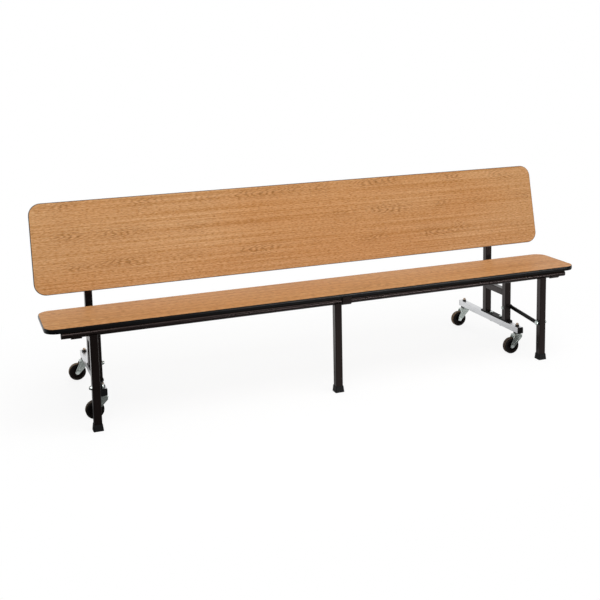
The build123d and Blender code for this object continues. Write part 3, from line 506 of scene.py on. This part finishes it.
# %% Stems and lock pins
STEM_NUT = 6.5
KNOB_LENGTH = 16.0
TWO_TONE_CLOUD = 4.0
stem_nut_top = box_mm("caster_bar_right")[1].z + STEM_NUT
knob_start = box_mm("lock_pin_right")[1].x - KNOB_LENGTH


def tipped(name, axis, start_mm, shank, tip):
    """A finish that changes from shank to tip beyond a place on one axis, on both halves of the bench."""
    material, tree, shader, place = start_material(name)
    axes = add_node(tree, "SeparateXYZ", {}, {"Vector": place}).outputs
    reach = add_node(tree, "Math", {"operation": "ABSOLUTE"}, {0: axes[axis]})
    beyond = add_node(tree, "Math", {"operation": "GREATER_THAN", 1: start_mm * MM}, {0: reach})
    cloud = add_node(tree, "TexNoise", {"Scale": 1 / (TWO_TONE_CLOUD * MM), "Detail": 3.0}, {"Vector": place})
    shank_colour, tip_colour = [
        add_node(tree, "ValToRGB", {"stops": [(0.35, dark), (0.65, light)]}, {"Fac": cloud})
        for dark, light, metallic, rough in (shank, tip)
    ]
    colour = add_node(tree, "Mix", {"data_type": "RGBA"}, {0: beyond, MIX_A: shank_colour, MIX_B: tip_colour})
    feed(shader, {
        "Base Color": colour.outputs[MIX_RESULT],
        "Metallic": add_node(tree, "MapRange", {"To Min": shank[2], "To Max": tip[2]}, {"Value": beyond}),
        "Roughness": add_node(tree, "MapRange", {"To Min": shank[3], "To Max": tip[3]}, {"Value": beyond}),
    })
    return material


stem_steel = tipped("straw_tipped_black_steel", "Z", stem_nut_top,
                    ("#0E0C0B", "#1E1A18", 0.0, 0.42), ("#A48E7A", "#DCC8B4", 1.0, 0.36))
pin_steel = tipped("turned_steel_and_knob", "X", knob_start,
                   ("#8E9092", "#B2B4B5", 1.0, 0.28), ("#0C0B0B", "#171514", 0.0, 0.42))
print("stem tips start", round(stem_nut_top, 1), "mm up, knobs", round(knob_start), "mm out")

# %% [markdown]
# ## Dress the CAD pieces
# Each piece takes its finish by name. The list is short because the pieces are named for what they
# are: everything that isn't wood, plated, blackened, turned or moulded is powder-coated steel.

# %% Give every piece its finish
FINISH_BY_START = [
    ("link_bar", black_oxide),
    ("base_plate", black_oxide),
    ("caster_bar", chrome),
    ("caster_fork", pressed_zinc),
    ("caster_axle", zinc),
    ("pivot_bolts", zinc),
    ("base_bolts", zinc),
    ("leg_link_bolts", zinc),
    ("caster_stems", stem_steel),
    ("caster_wheel", nylon),
    ("caster_tread", rubber),
    ("foot", polypropylene),
    ("post_caps", polypropylene),
    ("bar_end_caps", polypropylene),
    ("rail_end_plugs", polypropylene),
    ("lock_pin", pin_steel),
]
for name, piece in nodes.items():
    finish = finishes.get(name)
    for start, material in FINISH_BY_START:
        if name.startswith(start):
            finish = material
    piece.data.materials.clear()
    piece.data.materials.append(finish or powder_coat)
print("dressed", len(nodes), "pieces")

# %% [markdown]
# ## A helper for extra pieces
# The next steps add small pieces that the CAD model leaves out. They could be modelled by hand, but
# drawn by code they take their places from the CAD pieces that they sit on. Each is drawn in
# millimetres. The helper turns the drawing into metres and lets the piece ride on a body, so that
# it moves with what carries it. Faces that meet at a steep angle keep a sharp edge.

# %% Helper for extra pieces
SHARP_ANGLE = math.radians(40)


def add_piece(name, shape, body, finish):
    """Makes a piece from a shape that was drawn in millimetres, and lets it ride on a body."""
    bmesh.ops.scale(shape, vec=(MM, MM, MM), verts=shape.verts)
    bmesh.ops.recalc_face_normals(shape, faces=shape.faces)
    mesh = bpy.data.meshes.new(name)
    shape.to_mesh(mesh)
    shape.free()
    mesh.shade_smooth()
    mesh.set_sharp_from_angle(angle=SHARP_ANGLE)
    mesh.materials.append(finish)
    piece = bpy.data.objects.new(name, mesh)
    bpy.context.scene.collection.objects.link(piece)
    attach(piece, body)
    print(name, "has", len(mesh.polygons), "faces")


# %% [markdown]
# ## Screws
# Wood screws hold the steel plates to the plywood: four in each tilt bracket, four in each seat arm
# and two in each rail saddle. Each is a zinc-plated pan head with a cross recess. A plain disc would
# do from across the room, but not beside it, so the head is turned as rings and the recess is sunk.

# %% A screw head
SCREW_SIDES = 24
SCREW_RINGS = ((4.4, 0.0), (4.4, 0.9), (4.1, 1.6), (3.3, 2.2))
SCREW_TOP = 2.4
CROSS_LONG, CROSS_WIDE, CROSS_DEEP = 2.3, 0.6, 1.1


def add_screw(shape, at, normal, turn):
    """A pan head with a cross recess, standing on a surface at a place in millimetres."""
    facing = normal.to_track_quat("Z", "Y").to_matrix().to_4x4()
    seat = Matrix.Translation(at) @ facing @ Matrix.Rotation(turn, 4, "Z")
    spots = [math.tau * i / SCREW_SIDES for i in range(SCREW_SIDES)]
    rings = [[shape.verts.new((radius * math.cos(a), radius * math.sin(a), height)) for a in spots]
             for radius, height in SCREW_RINGS]
    for lower, upper in zip(rings, rings[1:]):
        for i in range(SCREW_SIDES):
            j = (i + 1) % SCREW_SIDES
            shape.faces.new((lower[i], lower[j], upper[j], upper[i]))
    shape.faces.new(rings[0])
    arm = [(CROSS_LONG, -CROSS_WIDE), (CROSS_LONG, CROSS_WIDE), (CROSS_WIDE, CROSS_WIDE)]
    quarter_turns = ((1, 0), (0, 1), (-1, 0), (0, -1))
    cross = [(x * c - y * s, x * s + y * c) for c, s in quarter_turns for x, y in arm]
    mouth = [shape.verts.new((x, y, SCREW_TOP)) for x, y in cross]
    bottom = [shape.verts.new((x, y, SCREW_TOP - CROSS_DEEP)) for x, y in cross]
    mouth_edges = [shape.edges.new((mouth[i], mouth[i - 1])) for i in range(len(mouth))]
    rim_edges = [shape.edges.get((rings[-1][i], rings[-1][i - 1])) for i in range(SCREW_SIDES)]
    bmesh.ops.triangle_fill(shape, use_beauty=True, edges=mouth_edges + rim_edges, normal=(0, 0, 1))
    for i in range(len(mouth)):
        shape.faces.new((mouth[i - 1], mouth[i], bottom[i], bottom[i - 1]))
    shape.faces.new(bottom)
    made = [v for ring in rings for v in ring] + mouth + bottom
    bmesh.ops.transform(shape, matrix=seat, verts=made)


print("screw heads", 2 * SCREW_RINGS[0][0], "mm across")

# %% [markdown]
# ## Screws under the seat
# The arms and the saddles are screwed up into the seat board from below. Their places could be typed in,
# but then they would stay behind when a size changes, so each is measured from the box of the piece that
# it holds. Screws stop at any angle, so each is turned a step further than the last.

# %% Screws under the seat
TURN_STEP = 0.7
DOWN = Vector((0, 0, -1))
SEAT_ARM_THICK, SADDLE_THICK = 3.0, 4.5
ARM_SCREW_X, ARM_SCREW_FRONT, ARM_SCREW_PITCH = 17.0, 20.0, 95.0
SADDLE_SCREW_X, SADDLE_SCREW_REAR = 11.0, 14.0

seat_screws = bmesh.new()
turn = 0.0
for side in ("left", "right"):
    low, high = box_mm(f"seat_arm_{side}")
    for x in (-ARM_SCREW_X, ARM_SCREW_X):
        for y in (ARM_SCREW_FRONT, ARM_SCREW_FRONT + ARM_SCREW_PITCH):
            turn += TURN_STEP
            at = Vector(((low.x + high.x) / 2 + x, low.y + y, high.z - SEAT_ARM_THICK))
            add_screw(seat_screws, at, DOWN, turn)
seat_under = box_mm("seat_board")[0].z
for position in ("left", "middle", "right"):
    low, high = box_mm(f"rail_saddle_{position}")
    for x in (-SADDLE_SCREW_X, SADDLE_SCREW_X):
        turn += TURN_STEP
        at = Vector(((low.x + high.x) / 2 + x, high.y - SADDLE_SCREW_REAR, seat_under - SADDLE_THICK))
        add_screw(seat_screws, at, DOWN, turn)
add_piece("seat_screws", seat_screws, "seat", zinc)

# %% [markdown]
# ## Screws behind the backrest
# Each tilt bracket is held to the backrest by four screws around its pivot. The backrest leans, so the
# box of a bracket says little about where its plate is. The places are stepped off from the pivot
# instead, up the panel and out of it.

# %% Screws behind the backrest
PIVOT_BELOW_POST_TOP, PIVOT_TO_PLATE = 12.0, 23.1
BRACKET_SCREW_X, BRACKET_SCREW_UP = 38.0, 45.0
lean = math.radians(BACK_LEAN)
up_panel = Vector((0, math.sin(lean), math.cos(lean)))
out_of_panel = Vector((0, -math.cos(lean), math.sin(lean)))

back_screws = bmesh.new()
for side in ("left", "right"):
    low, high = box_mm(f"rear_post_{side}")
    pivot = Vector(((low.x + high.x) / 2, (low.y + high.y) / 2, high.z - PIVOT_BELOW_POST_TOP))
    for x in (-BRACKET_SCREW_X, BRACKET_SCREW_X):
        for up in (-BRACKET_SCREW_UP, BRACKET_SCREW_UP):
            turn += TURN_STEP
            at = pivot + Vector((x, 0, 0)) + out_of_panel * PIVOT_TO_PLATE + up_panel * up
            add_screw(back_screws, at, -out_of_panel, turn)
add_piece("back_screws", back_screws, "back", zinc)

# %% [markdown]
# ## Cap nuts
# The link bolts end in zinc-plated cap nuts, so that nothing catches a sleeve. A cap nut is a hexagon
# with a dome on it. The hexagons are CAD, and the domes are turned here on their faces. Half a ball would
# be too round, because a cap rises straight before it curves in, so the dome is made of rings.

# %% Cap nuts
DOME_SIDES = 24
DOME_RINGS = ((7.4, 0.0), (7.4, 2.4), (6.7, 4.2), (5.2, 5.6), (3.0, 6.4))
DOME_TOP = 6.7
BOLT_HEAD, LINK_EYE_R = 5.5, 11.0


def add_dome(shape, at, normal):
    """A dome that stands on a bolt's face at a place in millimetres."""
    seat = Matrix.Translation(at) @ normal.to_track_quat("Z", "Y").to_matrix().to_4x4()
    spots = [math.tau * i / DOME_SIDES for i in range(DOME_SIDES)]
    rings = [[shape.verts.new(seat @ Vector((r * math.cos(a), r * math.sin(a), h))) for a in spots]
             for r, h in DOME_RINGS]
    top = shape.verts.new(seat @ Vector((0, 0, DOME_TOP)))
    for lower, upper in zip(rings, rings[1:]):
        for i in range(DOME_SIDES):
            shape.faces.new((lower[i - 1], lower[i], upper[i], upper[i - 1]))
    for i in range(DOME_SIDES):
        shape.faces.new((rings[-1][i - 1], rings[-1][i], top))
    shape.faces.new(rings[0])


post_domes, leg_domes = bmesh.new(), bmesh.new()
for side, outward in (("left", Vector((-1, 0, 0))), ("right", Vector((1, 0, 0)))):
    link_low, link_high = box_mm(f"link_bar_{side}")
    post_low, post_high = box_mm(f"rear_post_{side}")
    leg_low, leg_high = box_mm(f"leg_{side}")
    post_inner = max(abs(post_low.x), abs(post_high.x)) - (post_high.x - post_low.x)
    leg_outer = max(abs(leg_low.x), abs(leg_high.x))
    at_post = Vector((0, link_high.y - LINK_EYE_R, link_high.z - LINK_EYE_R))
    at_leg = Vector((0, link_low.y + LINK_EYE_R, link_low.z + LINK_EYE_R))
    add_dome(post_domes, at_post + outward * (post_inner - BOLT_HEAD), -outward)
    add_dome(leg_domes, at_leg + outward * (leg_outer + BOLT_HEAD), outward)
add_piece("post_cap_nuts", post_domes, "frame", zinc)
add_piece("leg_cap_nuts", leg_domes, "leg_set", zinc)

# %% [markdown]
# ## Weld beads
# The end frames and the legs are welded, then powder coated, so each seam shows as a rippled bead
# under the paint. A bead is a row of puddles that froze one after the other. A plain tube along the seam
# would look like a cord, so its radius swells once for every puddle and fades at both ends.

# %% A weld bead
BEAD_R, BEAD_RIPPLE, BEAD_STEP, BEAD_SIDES = 2.4, 2.6, 0.65, 8
PUDDLE_WAIST = 0.82
FADED_END = 0.3
LOOK_AHEAD = 0.01


def add_bead(shape, path, length, across):
    """A rippled bead along path(0) to path(1), with across at a right angle to it everywhere."""
    steps = round(length / BEAD_STEP)
    spots = [math.tau * k / BEAD_SIDES for k in range(BEAD_SIDES)]
    rings = []
    for i in range(steps + 1):
        t = i / steps
        along = (path(min(1, t + LOOK_AHEAD)) - path(max(0, t - LOOK_AHEAD))).normalized()
        swell = abs(math.cos(math.pi * t * length / BEAD_RIPPLE))
        puddle = PUDDLE_WAIST + (1 - PUDDLE_WAIST) * swell
        fade = min(1.0, FADED_END + min(t, 1 - t) * length / BEAD_R)
        side = across * BEAD_R * puddle * fade
        rise = along.cross(across) * BEAD_R * puddle * fade
        rings.append([shape.verts.new(path(t) + side * math.cos(a) + rise * math.sin(a)) for a in spots])
    for first, second in zip(rings, rings[1:]):
        for k in range(BEAD_SIDES):
            shape.faces.new((first[k - 1], first[k], second[k], second[k - 1]))
    shape.faces.new(rings[0])
    shape.faces.new(rings[-1])


def straight_bead(shape, start, end, across):
    """A bead from one point to another."""
    add_bead(shape, lambda t: start.lerp(end, t), (end - start).length, across)


print("a puddle every", BEAD_RIPPLE, "mm")

# %% [markdown]
# ## Welds of the end frames
# The posts stand on base plates, a cross tube joins the two posts of an end, and a stretcher joins the
# two ends. The seams could be searched for edge by edge. But all of them are straight and lie where two
# boxes meet, so the boxes give their ends, and a bead stops short of a tube's rounded corners.

# %% Welds of the end frames
TUBE_CORNER = 3.5
X_AXIS, Y_AXIS = Vector((1, 0, 0)), Vector((0, 1, 0))

frame_welds = bmesh.new()
for side in ("left", "right"):
    base_top = box_mm(f"base_plate_{side}")[1].z
    tube_low, tube_high = box_mm(f"cross_tube_{side}")
    middle = Vector(((tube_low.x + tube_high.x) / 2, 0, 0))
    tube = tube_high.x - tube_low.x
    half_flat = tube / 2 - TUBE_CORNER
    post_ys = [tube_low.y - tube, tube_low.y, tube_high.y, tube_high.y + tube]
    seams = [(y, base_top) for y in post_ys]
    seams += [(y, z) for y in (tube_low.y, tube_high.y) for z in (tube_low.z, tube_high.z)]
    for y, z in seams:
        at = middle + Vector((0, y, z))
        straight_bead(frame_welds, at - X_AXIS * half_flat, at + X_AXIS * half_flat, Y_AXIS)
    stretcher_low, stretcher_high = box_mm("rear_stretcher")
    end_x = stretcher_low.x if side == "left" else stretcher_high.x
    for z in (stretcher_low.z, stretcher_high.z):
        at = Vector((end_x, (stretcher_low.y + stretcher_high.y) / 2, z))
        straight_bead(frame_welds, at - Y_AXIS * half_flat, at + Y_AXIS * half_flat, X_AXIS)
add_piece("frame_welds", frame_welds, "frame", powder_coat)

# %% [markdown]
# ## Welds of the legs
# Each leg ends against the underside of the round leg rail, and a seam runs along each side of the leg.
# A straight bead would leave the rail at both ends, so its path is an arc round the rail.

# %% Welds of the legs
SEAM_HALF_TURN = math.radians(48)
rail_low, rail_high = box_mm("leg_rail")
rail_radius = (rail_high.z - rail_low.z) / 2
rail_middle = (rail_low + rail_high) / 2


def rail_seam(x, t):
    """The point at a share t of the seam round the underside of the leg rail, at a place along it."""
    angle = SEAM_HALF_TURN * (2 * t - 1)
    y = rail_middle.y + rail_radius * math.sin(angle)
    return Vector((x, y, rail_middle.z - rail_radius * math.cos(angle)))


leg_welds = bmesh.new()
for position in ("left", "middle", "right"):
    low, high = box_mm(f"leg_{position}")
    for x in (low.x, high.x):
        add_bead(leg_welds, lambda t: rail_seam(x, t), 2 * SEAM_HALF_TURN * rail_radius, X_AXIS)
add_piece("leg_welds", leg_welds, "leg_set", powder_coat)

# %% [markdown]
# ## Threads on the caster stems
# The stem tips stand out of their nuts with a rolled thread. A stack of rings would be simpler, but a
# thread climbs: it is a small ridge along a helix. So a closed four-sided ridge is carried round the stem
# in even steps.

# %% Threads
STEM_R, STEM_INSET, TIP_ROUND = 6.0, 25.0, 2.0
THREAD_PITCH, THREAD_STEPS = 1.7, 28
RIDGE_RISE, RIDGE_ROOT = 0.4, -0.2
CREST_HALF, ROOT_HALF = 0.12, 0.7
RIDGE = (
    (RIDGE_ROOT, -ROOT_HALF),
    (RIDGE_RISE, -CREST_HALF),
    (RIDGE_RISE, CREST_HALF),
    (RIDGE_ROOT, ROOT_HALF),
)

stem_threads = bmesh.new()
stem_top = box_mm("caster_stems")[1].z
bar_low, bar_high = box_mm("caster_bar_right")
bar_x = (bar_low.x + bar_high.x) / 2
turns = (stem_top - TIP_ROUND - stem_nut_top) / THREAD_PITCH - 1
for x in (-bar_x, bar_x):
    for y in (bar_low.y + STEM_INSET, bar_high.y - STEM_INSET):
        sections = []
        for i in range(round(turns * THREAD_STEPS) + 1):
            angle = math.tau * i / THREAD_STEPS
            height = stem_nut_top + THREAD_PITCH * (0.5 + i / THREAD_STEPS)
            outward = Vector((math.cos(angle), math.sin(angle), 0))
            section = [Vector((x, y, height + z)) + outward * (STEM_R + r) for r, z in RIDGE]
            sections.append([stem_threads.verts.new(point) for point in section])
        for first, second in zip(sections, sections[1:]):
            for k in range(len(RIDGE)):
                stem_threads.faces.new((first[k - 1], first[k], second[k], second[k - 1]))
        stem_threads.faces.new(sections[0])
        stem_threads.faces.new(sections[-1])
add_piece("stem_threads", stem_threads, "frame", stem_steel)

# %% [markdown]
# ## The paper floor
# The bench stands on white paper. The camera sees the paper as plain white, apart from a share of the
# bench's shadow close to it. The light that it bounces is that of a light grey, so that undersides stay
# dark. In paint and plate the paper is mirrored: white behind the bench, dimmer in front, most of all at
# the left, and black some way out, because a studio is white behind the object and dark around the
# photographer. That keeps black paint black while the plated bars stay bright. White could come from
# more lamps, but they would wash out the wood. Places on the floor are in metres.

# %% Paper floor
FLOOR_HALF = 30.0
PAPER_FIBRE = 25
PAPER_WHITES = [(0.0, "#F4F4F4"), (1.0, "#F9F9F9")]
BOUNCE_GREY = "#B4B4B4"
SHADOW_KEPT = 0.13
SHADOW_OVAL = (1, 1.7, 1)
SHADOW_FADES = {"From Min": 1.3, "From Max": 2.5, "To Min": 1 - SHADOW_KEPT}
LEFT_TO_RIGHT = {"From Min": -1.1, "From Max": 0.1, "To Min": 0.1, "To Max": 0.5}
FRONT_TO_BENCH = {"From Min": -2.2, "From Max": -1.2}
BENCH_TO_BACK = {"From Min": -0.1, "From Max": 0.45}
WHITE = (1, 1, 1, 1)


def seen_and_mirrored(tree):
    """1 for a ray from the camera, and 1 for a ray from a surface that mirrors or bends what it sees."""
    path = add_node(tree, "LightPath", {}).outputs
    mirrored = add_node(tree, "Math", {"operation": "MAXIMUM"}, {
        0: path["Is Glossy Ray"], 1: path["Is Transmission Ray"],
    })
    return path["Is Camera Ray"], mirrored


paper, tree, shader, place = start_material("white_paper", Roughness=0.9, Specular_IOR_Level=0.0)
seen, mirrored = seen_and_mirrored(tree)
fibres = add_node(tree, "TexNoise", {"Scale": 1 / (PAPER_FIBRE * MM), "Detail": 2.0}, {"Vector": place})
tint = add_node(tree, "ValToRGB", {"stops": PAPER_WHITES}, {"Fac": fibres})
seen_tint = add_node(tree, "Mix", {"data_type": "RGBA", MIX_A: linear(BOUNCE_GREY)}, {0: seen, MIX_B: tint})
feed(shader, {"Base Color": seen_tint.outputs[MIX_RESULT]})

oval = add_node(tree, "Mapping", {"Scale": SHADOW_OVAL}, {"Vector": place})
away = add_node(tree, "VectorMath", {"operation": "LENGTH"}, {0: oval}).outputs["Value"]
fade = add_node(tree, "MapRange", SHADOW_FADES, {"Value": away})
seen_white = add_node(tree, "Math", {"operation": "MULTIPLY"}, {0: fade, 1: seen})
white_share = add_node(tree, "Math", {"operation": "MAXIMUM"}, {0: seen_white, 1: mirrored})

spot = add_node(tree, "SeparateXYZ", {}, {"Vector": place}).outputs
across = add_node(tree, "MapRange", LEFT_TO_RIGHT, {"Value": spot["X"]})
forward = add_node(tree, "MapRange", FRONT_TO_BENCH, {"Value": spot["Y"]})
in_front = add_node(tree, "Math", {"operation": "MULTIPLY"}, {0: across, 1: forward})
in_mirrors = add_node(tree, "MapRange", BENCH_TO_BACK, {"Value": spot["Y"], "To Min": in_front})
glow = add_node(tree, "MapRange", {"To Min": 1.0}, {"Value": mirrored, "To Max": in_mirrors})
white = add_node(tree, "Emission", {"Color": WHITE}, {"Strength": glow})
surface = add_node(tree, "MixShader", {}, {0: white_share, 1: shader, 2: white})
feed(tree.nodes["Material Output"], {"Surface": surface})

floor_mesh = bpy.data.meshes.new("paper_floor")
corners = [(sx * FLOOR_HALF, sy * FLOOR_HALF, 0) for sx, sy in ((-1, -1), (1, -1), (1, 1), (-1, 1))]
floor_mesh.from_pydata(corners, [], [(0, 1, 2, 3)])
floor_mesh.materials.append(paper)
floor = bpy.data.objects.new("paper_floor", floor_mesh)
bpy.context.scene.collection.objects.link(floor)
print("floor", 2 * FLOOR_HALF, "m wide")

# %% [markdown]
# ## The sky
# The sky could be one white all round, but then the black paint would mirror it and turn grey. So it
# follows the paper: it is white for the camera, and in paint and plate it is white behind the bench and
# dim in front. For everything else it is a plain fill light from all around.

# %% Sky
SKY_FILL = 0.52
SKY_IN_MIRRORS = {"From Min": 0.0, "From Max": 0.5, "To Min": 0.12}

world = bpy.data.worlds.new("white_room")
bpy.context.scene.world = world
world.use_nodes = True
tree = world.node_tree
seen, mirrored = seen_and_mirrored(tree)
direction = add_node(tree, "TexCoord", {}).outputs["Generated"]
heading = add_node(tree, "SeparateXYZ", {}, {"Vector": direction}).outputs["Y"]
in_mirrors = add_node(tree, "MapRange", SKY_IN_MIRRORS, {"Value": heading})
unseen = add_node(tree, "MapRange", {"To Min": SKY_FILL}, {"Value": mirrored, "To Max": in_mirrors})
strength = add_node(tree, "Math", {"operation": "MAXIMUM"}, {0: unseen, 1: seen})
background = tree.nodes["Background"]
background.inputs["Color"].default_value = WHITE
feed(background, {"Strength": strength})
print("sky fill", SKY_FILL)

# %% [markdown]
# ## The lamps
# Two large soft boxes, one at the front left and one overhead, give the main light. A long low strip in
# front lifts the edges that face the camera, and a box behind lights the plywood. Both only light: they
# don't show in gloss, where they would grey the black paint and the seat. One more strip, at the front
# right, does the opposite. It shows only in gloss, as the bright line along the edge moulding and the leg
# rail. Each row gives a lamp's name, place and size in metres, its watts, whether it lights, and
# whether it shows in gloss.

# %% Lamps
AIM_AT = Vector((0, 0, 0.45))
LAMPS = (
    ("key_box", (-1.5, -3.5, 4.0), (2.6, 2.6), 78, True, True),
    ("top_box", (1.0, -1.5, 4.6), (3.0, 3.0), 104, True, True),
    ("front_strip", (0.3, -5.6, 1.0), (5.0, 0.2), 52, True, False),
    ("gloss_strip", (2.6, -5.0, 0.7), (3.2, 0.25), 90, False, True),
    ("rear_box", (0.6, 4.4, 3.0), (3.0, 2.0), 40, True, False),
)
for name, at, size, watts, lights, shines in LAMPS:
    lamp_data = bpy.data.lights.new(name, "AREA")
    lamp_data.shape = "RECTANGLE"
    lamp_data.size, lamp_data.size_y = size
    lamp_data.energy = watts
    lamp = bpy.data.objects.new(name, lamp_data)
    lamp.location = at
    lamp.visible_diffuse = lights
    lamp.visible_glossy = shines
    lamp.rotation_euler = (AIM_AT - Vector(at)).to_track_quat("-Z", "Y").to_euler()
    bpy.context.scene.collection.objects.link(lamp)
bpy.context.scene.view_settings.view_transform = "Standard"
print(len(LAMPS), "lamps")
